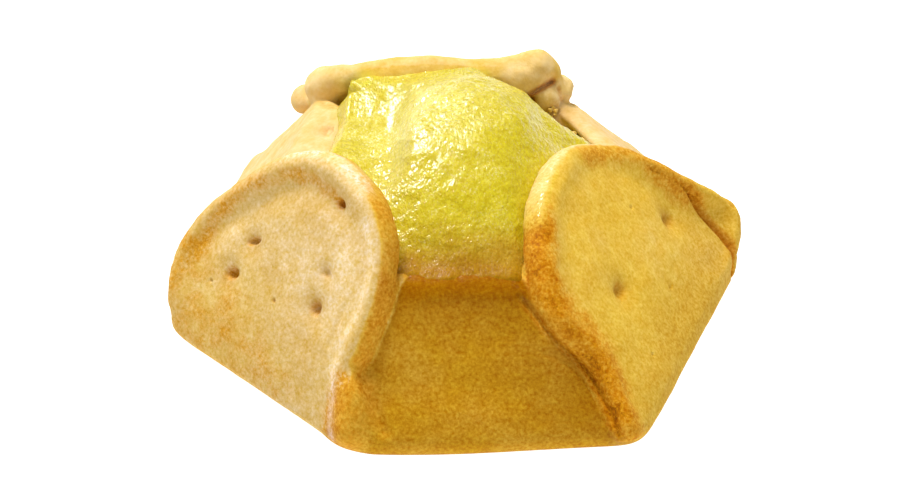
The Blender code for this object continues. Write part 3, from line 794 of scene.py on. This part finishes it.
def refine_holes(obj):
    """Finer faces round the dock holes, so that their pits are round."""
    mesh = bmesh.new()
    mesh.from_mesh(obj.data)
    middles = np.array([[*(edge.verts[0].co + edge.verts[1].co)] for edge in mesh.edges]) / 2 / MM
    near = np.zeros(len(middles), bool)
    for hole in DOCK_HOLES:
        near |= hole_distance(middles, hole)[0] < 2.2
    edges = [edge for edge, wanted in zip(mesh.edges, near) if wanted]
    bmesh.ops.subdivide_edges(mesh, edges=edges, cuts=1, use_grid_fill=True)
    bmesh.ops.triangulate(mesh, faces=[face for face in mesh.faces if len(face.verts) > 4])
    mesh.to_mesh(obj.data)
    mesh.free()


def shape_pastry(obj):
    """Softens the joins, then adds the dough's unevenness, its creases, dock holes and cracks."""
    places = soften(obj, places_of(obj), 3, np.ones(len(obj.data.vertices)))
    corner = np.zeros(len(places))
    for side, along, up, out, size in GUSSET:
        away = np.linalg.norm(places - flap_point(side, along, up, out), axis=1)
        corner = np.maximum(corner, fall(away, size * 0.9, size * 2.0))
    places = soften(obj, places, 45, corner)
    bulge = bump(places[:, 0] + 3.0, 20.0) * fall(places[:, 2], 2.0, 20.0)
    places[:, 1] -= FRONT_BULGE * bulge * ramp(-places[:, 1], 38.0, 41.0)
    along, up, out = flap_coordinates("left", places)
    foot = fall(up, 4.0, 14.0) * ramp(out, -6.0, -3.0) * fall(along, 12.0, 22.0)
    places = places + np.array([*side_frame("left")[2], 0.0]) * (LEFT_FOOT_INSET * foot)[:, None]
    move_to(obj, places)
    refine_holes(obj)

    places = places_of(obj)
    normals = normals_of(obj)
    rim = np.zeros(len(places))
    for name, (along, up, out, inset, belongs) in flap_insets(places).items():
        rim = np.maximum(rim, belongs * fall(inset, 3.0, 6.0) * ramp(up, 3.0, 9.0))
    broken = bump(np.linalg.norm(places - BROKEN_CRUST, axis=1), 4.5)
    lift = 0.20 * lattice_noise(places, 9.0, 1) + 0.10 * lattice_noise(places, 4.0, 2)
    lift += 0.045 * layered_noise(places, 1.8, 4, 2)
    lift += rim * (0.07 * lattice_noise(places, 2.4, 6) + 0.05 * layered_noise(places, 1.3, 7, 2))
    lift += broken * (0.8 * lattice_noise(places, 2.6, 8) + 0.45 * layered_noise(places, 1.5, 9, 2))
    lift *= ramp(places[:, 2], 0.0, 2.5)
    places = places + normals * lift[:, None]
    for side, line, level, width, depth, _ in CREASES:
        press = depth * stroke(side, places, line, width, level - 3.0, level + 2.0)
        places = places - flap_axes(side)[3] * press[:, None]
    for hole in DOCK_HOLES:
        side, *_, pit, dimple, reach = hole
        sizes, away = hole_distance(places, hole)
        press = pit * np.exp(-(sizes**4)) + dimple * bump(away, reach)
        places = places - flap_axes(side)[3] * press[:, None]
    places = places + GAP_DIRECTION * gap_depth(places)[:, None]
    places[:, 2] = np.maximum(places[:, 2], 0.0)
    move_to(obj, places)


def thin_hidden(obj):
    """Fewer faces where the dough can't be seen: inside the case, and on its flat underside."""
    places = places_of(obj)
    normals = normals_of(obj)
    angles = np.arctan2(places[:, 1], places[:, 0])
    radii = np.hypot(places[:, 0], places[:, 1])
    inner = case_radius(angles, places[:, 2], 0.6)
    hidden = (radii < inner) & (places[:, 2] < wall_height(angles) - 2.0)
    hidden |= (places[:, 2] < 0.4) & (normals[:, 2] < -0.7)
    group = obj.vertex_groups.new(name="hidden")
    group.add(np.flatnonzero(hidden).tolist(), 1.0, "REPLACE")
    modifier = obj.modifiers.new("thin", "DECIMATE")
    modifier.vertex_group = "hidden"
    modifier.ratio = 1.0 - hidden.mean() * (1.0 - HIDDEN_KEEP)
    apply_modifiers(obj)
    obj.vertex_groups.clear()


def make_pastry():
    parts = [case_mesh()] + [flap_mesh(name) for name in FLAP_OUTLINES]
    for seed, (x, y, z, *half_sizes) in enumerate(FOLD_LUMPS.values()):
        parts.append(lump_mesh((x, y, z), half_sizes, seed))
    for side, along, up, out, size in GUSSET:
        parts.append(lump_mesh(flap_point(side, along, up, out), [size] * 3, 5))
    pastry = make_object("pastry_crust", parts)
    remesh(pastry, VOXEL)
    shape_pastry(pastry)
    thin_hidden(pastry)
    for name, values in pastry_fields(places_of(pastry), normals_of(pastry)).items():
        store(pastry, name, values)
    return pastry


def under_flaps(x, y, heights, places):
    """Brings heights down softly below the flaps' inner faces; beyond a flap's rim they may rise again."""
    for name, (depth, softness, back_rise, front_rise) in ROOFS.items():
        middle, direction, inward, slope, _ = side_frame(name)
        away = np.stack([x, y], 1) - middle
        fold_length = FOLD_RADIUS * (math.pi - slope)
        rise = (away @ inward - FOLD_RADIUS * (1.0 - math.sin(slope))) * math.tan(slope)
        up = fold_length + rise / math.sin(slope) - depth * math.tan(slope)
        along = away @ direction
        line = closed_curve(FLAP_OUTLINES[name], 90)
        outside, where = distance_to_line(along, up, line, closed=True)
        beyond = ~inside_outline(along, up, line)
        rim_up = np.interp(where, np.linspace(0.0, 1.0, len(line) + 1), np.append(line[:, 1], line[0, 1]))
        steepness = front_rise + (back_rise - front_rise) * ramp(y, -22.0, -8.0)
        if name == "back":
            steepness = steepness * (0.3 + 0.7 * ramp(x, -21.0, -13.0))
        roof = FOLD_RADIUS * (1.0 + math.cos(slope)) - depth * math.cos(slope)
        roof = roof + (np.where(beyond, rim_up, up) - fold_length) * math.sin(slope)
        roof = roof + steepness * np.where(beyond, outside, 0.0)
        if name == "back":
            roof = roof + 0.5 * lattice_noise(places, 3.0, 19)
        heights = -softness * np.logaddexp(-heights / softness, -roof / softness)
    return heights


def mound_height(x, y):
    """The height of the fruit's surface, before its pulp."""
    height = MOUND_EDGE + MOUND_RISE * ramp(y, MOUND_FRONT, MOUND_FRONT + MOUND_RUN)
    height = height - 4.4 * ramp(x, 9.0, 23.0) * ramp(y, -12.0, 8.0)
    for lump_x, lump_y, lump_height, half_width, half_depth in LUMPS:
        away = np.hypot((x - lump_x) / half_width, (y - lump_y) / half_depth)
        height = height + lump_height * np.exp(-(away**3))
    dome_x, dome_y, dome_height, half_width, half_depth = DOME
    away = np.hypot((x - dome_x) / half_width, (y - dome_y) / np.where(y > dome_y, DOME_BACK, half_depth))
    step = 1.0 - fall(x, -12.0, -7.6) * ramp(y, -13.0, -3.0)
    height = height + dome_height * np.exp(-(away**3.2)) * step
    beyond = y - np.interp(x, *FALL_LINE)
    beyond = 0.8 * np.logaddexp(0.0, (beyond - 0.5) / 0.8)
    height = height - 1.15 * beyond * ramp(x, 1.0, 12.0)
    return np.maximum(height, MOUND_LEAST)


def filling_mesh():
    """The fruit from the dough floor up, before its pulp, lapping over the walls without flaps."""
    angles = np.linspace(-math.pi, math.pi, 460, endpoint=False)
    tops = wall_height(angles)
    weights = side_weights(angles)
    at_back = ramp(case_radius(angles, tops, 1.0) * np.sin(angles), 8.0, 22.0)
    lap = np.minimum(1.0, 3.0 * weights["front"]) * LAP["front"]
    lap = lap + weights["back_left"] * (LAP["back_left"] + 0.45 * at_back)
    lap = lap * ramp(lap, 0.02, 0.2)
    edge = case_radius(angles, tops - 0.6, 1.0, 0.1)
    over = case_radius(angles, tops - 0.6, 1.0 - lap, 0.1)

    def ring(radii, heights):
        return np.stack([radii * np.cos(angles), radii * np.sin(angles), heights * np.ones(len(angles))], 1)

    rings = [ring(case_radius(angles, z, 1.0, 0.8), z) for z in (DOUGH + 0.8, 9.0, 15.0)]
    low = np.minimum(mound_height(edge * np.cos(angles), edge * np.sin(angles)), tops) - 3.0
    rings.append(ring(case_radius(angles, low, 1.0, 0.4), low))
    rings.append(ring(edge, low + 1.2))
    lapping = ramp(lap, 0.03, 0.12)
    heights = (low + 2.0) * (1.0 - lapping) + (tops - 1.6) * lapping
    rings.append(ring(edge * (1.0 - lapping) + over * lapping, heights))
    for share in np.concatenate([np.linspace(0.995, 0.6, 76), np.linspace(0.59, 0.02, 64)]):
        radii = share * over
        x, y = radii * np.cos(angles), radii * np.sin(angles)
        free = mound_height(x, y)
        film = tops + 0.18 - 2.0 * np.exp(-(over - radii) / 0.5)
        inside = ramp(over - radii, 0.3, 3.2 + 1.8 * at_back)
        free = film * lapping * (1.0 - inside) + free * (1.0 - lapping * (1.0 - inside))
        places = np.stack([x, y, np.zeros(len(x))], 1)
        rings.append(ring(radii, under_flaps(x, y, free, places)))
    return loft(rings)


def make_filling():
    """The fruit with its pulp, and how thin, jelly-like, pale (partly a painted highlight on the dome's upper
    left) and glassy it is.
    """
    filling = make_object("fruit_filling", [filling_mesh()])
    places = places_of(filling)
    normals = normals_of(filling)
    x, y, z = places.T
    free = ramp(under_flaps(x, y, np.full(len(x), 60.0), places * (1.0, 1.0, 0.0)) - z, 0.2, 2.0)
    top = ramp(z, 17.5, 20.0) * ramp(normals[:, 2], 0.1, 0.4)
    smooth_zone = bump(np.hypot(x + 15.0, y - 9.5), 6.0)
    stretched = places * (1.0, 0.35, 0.6)
    wrinkled_zone = bump(np.hypot((x + 11.5) / 4.0, (y - 16.0) / 8.0), 1.0)
    wrinkles = (1.0 - np.abs(lattice_noise(stretched, 1.1, 17))) * wrinkled_zone
    pulp = 0.34 * lattice_noise(places, 5.5, 11) + 0.20 * lattice_noise(places, 2.6, 12)
    grain = 0.09 * lattice_noise(places, 1.5, 13) + 0.07 * lattice_noise(places, 0.8, 14)
    lift = (pulp + grain * (1.0 - 0.75 * smooth_zone) + 0.30 * wrinkles) * top * (0.35 + 0.65 * free)
    places = places + normals * lift[:, None]
    move_to(filling, places)

    spots = layered_noise(places, 3.0, 15)
    thin = fall(y + 1.4 * spots, -28.5, -17.0) * ramp(z, 20.0, 23.0)
    jelly = bump(np.hypot((x - 8.0) / 6.0, (y + 23.5) / 3.0), 1.0)
    # Paler on the dome's upper left, partly as a painted highlight.
    pale_and_highlight = bump(np.hypot((x + 7.0) / 11.0, (y - 6.0) / 11.0), 1.0) + 0.3 * spots
    store(filling, "thin", np.clip(thin, 0.0, 1.0))
    store(filling, "jelly", np.clip(jelly, 0.0, 1.0))
    store(filling, "pale_and_highlight", np.clip(pale_and_highlight, 0.0, 1.0))
    glassy = smooth_zone + 0.6 * bump(np.hypot((x + 10.0) / 9.0, (y - 6.0) / 14.0), 1.0)
    store(filling, "glassy", np.clip(glassy, 0.0, 1.0))
    return filling


class Nodes:
    """A short way to write a material's nodes."""

    def __init__(self, name):
        self.material = bpy.data.materials.new(name)
        self.material.use_nodes = True
        self.tree = self.material.node_tree
        self.shader = self.tree.nodes["Principled BSDF"]
        self.place = self.add("ShaderNodeTexCoord").outputs["Object"]

    def add(self, kind, **values):
        node = self.tree.nodes.new(kind)
        for key, value in values.items():
            setattr(node, key, value)
        return node

    def link(self, source, target):
        if hasattr(source, "is_linked"):
            self.tree.links.new(source, target)
        else:
            target.default_value = source

    def noise(self, size, detail=2.0, roughness=0.5, depth=1.0):
        """Noise around 0.5, with features of this size in millimetres, and this much longer to the back."""
        node = self.add("ShaderNodeTexNoise")
        node.inputs["Scale"].default_value = 1.0 / (size * MM)
        node.inputs["Detail"].default_value = detail
        node.inputs["Roughness"].default_value = roughness
        self.link(self.multiply(self.place, (1.0, 1.0 / depth, 1.0)), node.inputs["Vector"])
        return node.outputs["Fac"]

    def attribute(self, name):
        return self.add("ShaderNodeAttribute", attribute_name=name).outputs["Fac"]

    def math(self, operation, first, second=0.0, clamp=False):
        node = self.add("ShaderNodeMath", operation=operation, use_clamp=clamp)
        self.link(first, node.inputs[0])
        self.link(second, node.inputs[1])
        return node.outputs[0]

    def spread(self, value, low, high, to_low=0.0, to_high=1.0):
        node = self.add("ShaderNodeMapRange")
        for socket, number in zip(node.inputs[1:5], (low, high, to_low, to_high)):
            socket.default_value = number
        self.link(value, node.inputs[0])
        return node.outputs[0]

    def mix(self, share, first, second):
        node = self.add("ShaderNodeMix", data_type="RGBA")
        self.link(share, node.inputs[0])
        self.link(first, node.inputs[6])
        self.link(second, node.inputs[7])
        return node.outputs[2]

    def multiply(self, first, second):
        node = self.add("ShaderNodeVectorMath", operation="MULTIPLY")
        self.link(first, node.inputs[0])
        self.link(second, node.inputs[1])
        return node.outputs[0]

    def relief(self, height, depth, strength=1.0, below=None):
        """A bump that follows a height; its depth is a number or a socket, in millimetres."""
        node = self.add("ShaderNodeBump")
        depth = depth * MM if isinstance(depth, float) else self.math("MULTIPLY", depth, MM)
        self.link(depth, node.inputs["Distance"])
        self.link(strength, node.inputs["Strength"])
        self.link(height, node.inputs["Height"])
        if below is not None:
            self.link(below, node.inputs["Normal"])
        return node.outputs["Normal"]

    def set(self, **values):
        for key, value in values.items():
            self.link(value, self.shader.inputs[key.replace("_", " ")])


def colour(red, green, blue):
    """A colour given as it looks on screen, 0 to 255, as linear light."""
    def linear(value):
        share = value / 255.0
        return share / 12.92 if share <= 0.04045 else ((share + 0.055) / 1.055) ** 2.4
    return (linear(red), linear(green), linear(blue), 1.0)


def crust_material():
    n = Nodes("baked_crust")
    tone, brown, floury, moist = (n.attribute(name) for name in ("tone", "brown", "floury", "moist"))
    wet, stain, grainy = (n.attribute(name) for name in ("wet", "stain", "grainy"))
    grain = n.noise(0.55, 3.0, 0.6)
    specks = n.noise(0.62, 3.0, 0.7)
    patches = n.noise(9.0, 3.0, 0.55)
    base = n.mix(n.spread(tone, 0.0, 1.0), colour(220, 188, 128), colour(224, 184, 66))
    base = n.mix(n.spread(tone, 1.0, 2.0), base, colour(194, 140, 18))
    base = n.mix(n.spread(patches, 0.42, 0.7, 0.0, 0.22), base, colour(208, 158, 60))
    # Brown, including the painted shade in creases, cracks and holes.
    speckled = n.math("MULTIPLY", brown, n.spread(specks, 0.34, 0.66, 0.5, 1.5))
    base = n.mix(n.spread(speckled, 0.05, 0.45), base, colour(212, 152, 36))
    base = n.mix(n.spread(speckled, 0.45, 0.95), base, colour(196, 126, 8))
    base = n.mix(n.spread(speckled, 1.0, 1.7), base, colour(150, 88, 4))
    # Painted highlight: pale cream.
    base = n.mix(n.math("MULTIPLY", floury, 0.8), base, colour(250, 226, 178))
    # Moist dough, and painted shade: dark amber.
    base = n.mix(n.math("MULTIPLY", moist, 0.6, clamp=True), base, colour(152, 94, 0))
    base = n.mix(n.math("MULTIPLY", stain, 0.8), base, colour(212, 192, 60))
    fine = n.spread(grain, 0.3, 0.7)
    soft = n.mix(fine, (0.90, 0.82, 0.42, 1.0), (1.10, 1.18, 1.62, 1.0))
    strong = n.mix(fine, (0.80, 0.62, 0.0, 1.0), (1.19, 1.38, 2.6, 1.0))
    roughest = n.math("MAXIMUM", n.spread(tone, 1.0, 2.0), n.spread(brown, 0.1, 0.5))
    shades = n.multiply(base, n.mix(grainy, (1.0, 1.0, 1.0, 1.0), n.mix(roughest, soft, strong)))
    blotches = n.spread(n.noise(2.0, 2.0, 0.5), 0.3, 0.7)
    blotches = n.mix(blotches, (0.95, 0.90, 0.70, 1.0), (1.05, 1.10, 1.3, 1.0))
    shades = n.multiply(shades, blotches)
    glints = n.math("MULTIPLY", n.math("MAXIMUM", wet, stain), n.spread(n.noise(0.6), 0.53, 0.60))
    normal = n.relief(n.noise(1.2, 3.0, 0.6), 0.14, 0.8)
    normal = n.relief(grain, 0.06, 0.9, below=normal)
    n.set(
        Base_Color=shades, Normal=normal, Coat_Normal=normal,
        Roughness=n.math("SUBTRACT", n.spread(grain, 0.3, 0.7, 0.66, 0.8), n.math("MULTIPLY", moist, 0.3)),
        Specular_IOR_Level=0.07, Subsurface_Weight=0.06, Subsurface_Scale=0.6 * MM,
        Coat_Weight=glints, Coat_Roughness=0.08,
    )
    n.shader.inputs["Subsurface Radius"].default_value = (1.0, 0.6, 0.25)
    return n.material


def fruit_material():
    n = Nodes("cooked_fruit")
    thin, jelly, pale_and_highlight, glassy = (n.attribute(name) for name in ("thin", "jelly", "pale_and_highlight", "glassy"))
    pulp = n.noise(2.4, 3.0, 0.6, 1.6)
    grain = n.noise(0.42, 2.0, 0.6, 2.0)
    beads = n.noise(0.6, 1.0, 0.5, 1.4)
    # Paler on the dome's upper left: partly painted highlight.
    base = n.mix(pale_and_highlight, colour(201, 183, 18), colour(220, 208, 84))
    base = n.mix(n.spread(pulp, 0.42, 0.66, 0.0, 0.5), base, colour(192, 172, 6))
    # Painted glints: near-white specks in the base colour.
    painted_glints = n.spread(n.noise(0.34, 1.0, 0.5, 1.5), 0.56, 0.66)
    painted_glints = n.math("MULTIPLY", painted_glints, n.spread(pale_and_highlight, 0.0, 1.0, 0.06, 0.7))
    base = n.mix(painted_glints, base, colour(246, 240, 176))
    base = n.mix(n.math("MULTIPLY", thin, 0.95), base, colour(160, 110, 0))
    base = n.mix(n.math("MULTIPLY", jelly, 0.5), base, colour(182, 140, 36))
    shades = n.mix(n.spread(grain, 0.3, 0.7), (0.88, 0.81, 0.0, 1.0), (1.12, 1.19, 2.6, 1.0))
    base = n.multiply(base, shades)
    normal = n.relief(beads, 0.24, n.spread(glassy, 0.0, 1.0, 0.9, 0.4), below=n.relief(pulp, 0.35, 0.5))
    normal = n.relief(grain, n.spread(glassy, 0.0, 1.0, 0.13, 0.07), 0.9, below=normal)
    wet = n.math("SUBTRACT", n.spread(glassy, 0.0, 1.0, 0.7, 1.0), n.math("MULTIPLY", thin, 0.65), clamp=True)
    n.set(
        Base_Color=base, Roughness=n.spread(grain, 0.3, 0.7, 0.45, 0.6), Normal=normal, IOR=1.36,
        Subsurface_Weight=0.5, Subsurface_Scale=2.0 * MM, Coat_Weight=wet, Coat_Normal=normal,
        Coat_Roughness=0.05, Coat_IOR=1.4, Specular_IOR_Level=0.25,
    )
    n.shader.inputs["Subsurface Radius"].default_value = (1.0, 0.9, 0.2)
    return n.material


# The crumbs' fields; their pale value is a painted highlight.
CRUMB_FIELDS = {
    "brown": 0.0, "tone": 1.1, "floury": 0.3, "moist": 0.0, "wet": 0.0, "stain": 0.0, "grainy": 0.3,
}


def crumb_mesh(centre, size, random):
    """A broken crumb: a small, uneven ball."""
    places, faces = ball_mesh(2)
    places = places * (1.0 + 0.75 * lattice_noise(places + random.uniform(0, 40, 3), 0.9, 21)[:, None])
    places = places * size * random.uniform(0.7, 1.2, 3)
    return places + centre, faces


def make_crumbs():
    """Crumbs where the crust is broken, at the right end of the back rim."""
    random = np.random.default_rng(7)
    parts = []
    for _ in range(8):
        place = CRUMB_HEAP + random.normal(0.0, 1.0, 3) * (1.4, 0.4, 1.2)
        parts.append(crumb_mesh(place, random.uniform(0.25, 0.5), random))
    for _ in range(6):
        share = random.uniform(0.0, 1.0)
        place = CRUMB_LINE[0] + share * CRUMB_LINE[1] + random.normal(0.0, 0.35, 3)
        parts.append(crumb_mesh(place, random.uniform(0.2, 0.42), random))
    crumbs = make_object("crust_crumbs", parts)
    for name, value in CRUMB_FIELDS.items():
        store(crumbs, name, np.full(len(crumbs.data.vertices), value))
    return crumbs


def dress(piece, material, slot, *nodes):
    piece.data.materials.clear()
    piece.data.materials.append(material)
    piece.data.shade_smooth()
    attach(piece, "root")
    for node in nodes:
        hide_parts(node)


def make_camera():
    """The photograph's view: 35 degrees above the table, with the pastry a little below the middle."""
    elevation = math.radians(35.0)
    distance = 0.55
    pixels_to_focus = 3254.0
    frame_width = 920.0
    origin_below = 52.0
    data = bpy.data.cameras.new("camera")
    data.sensor_width = 36.0
    data.lens = pixels_to_focus / frame_width * data.sensor_width
    data.clip_start = 0.01
    camera = bpy.data.objects.new("camera", data)
    bpy.context.scene.collection.objects.link(camera)
    camera.location = (0.0, -distance * math.cos(elevation), distance * math.sin(elevation))
    pitch = elevation - math.atan(origin_below / pixels_to_focus)
    aim = Vector((0.0, math.cos(pitch), -math.sin(pitch)))
    camera.rotation_euler = aim.to_track_quat("-Z", "Y").to_euler()
    bpy.context.scene.camera = camera


def make_light(name, place, size, power, tint, mirrored, lighting):
    data = bpy.data.lights.new(name, "AREA")
    data.energy = power
    data.size = size
    data.color = tint
    light = bpy.data.objects.new(name, data)
    light.location = place
    light.visible_glossy = mirrored
    light.visible_diffuse = lighting
    light.rotation_euler = (-Vector(place)).to_track_quat("-Z", "Y").to_euler()
    bpy.context.scene.collection.objects.link(light)


def make_studio():
    bpy.ops.mesh.primitive_plane_add(size=6.0, location=(0.0, 0.0, 0.0))
    floor = bpy.context.active_object
    floor.name = "floor"
    n = Nodes("pale_floor")
    n.set(Base_Color=n.mix(n.noise(40.0), colour(140, 140, 140), colour(144, 144, 144)), Roughness=0.9,
          Emission_Color=(1.0, 1.0, 1.0, 1.0), Emission_Strength=1.1)
    floor.data.materials.append(n.material)
    world = bpy.data.worlds.new("studio")
    world.use_nodes = True
    world.node_tree.nodes["Background"].inputs["Color"].default_value = (1.0, 1.0, 1.0, 1.0)
    world.node_tree.nodes["Background"].inputs["Strength"].default_value = 0.30
    bpy.context.scene.world = world
    for light in LIGHTS:
        make_light(*light)
    bpy.context.scene.view_settings.view_transform = "Standard"


make_camera()
make_studio()
crust = crust_material()
dress(make_pastry(), crust, "pastry", "pastry")
dress(make_filling(), fruit_material(), "filling", "filling")
dress(make_crumbs(), crust, "pastry")
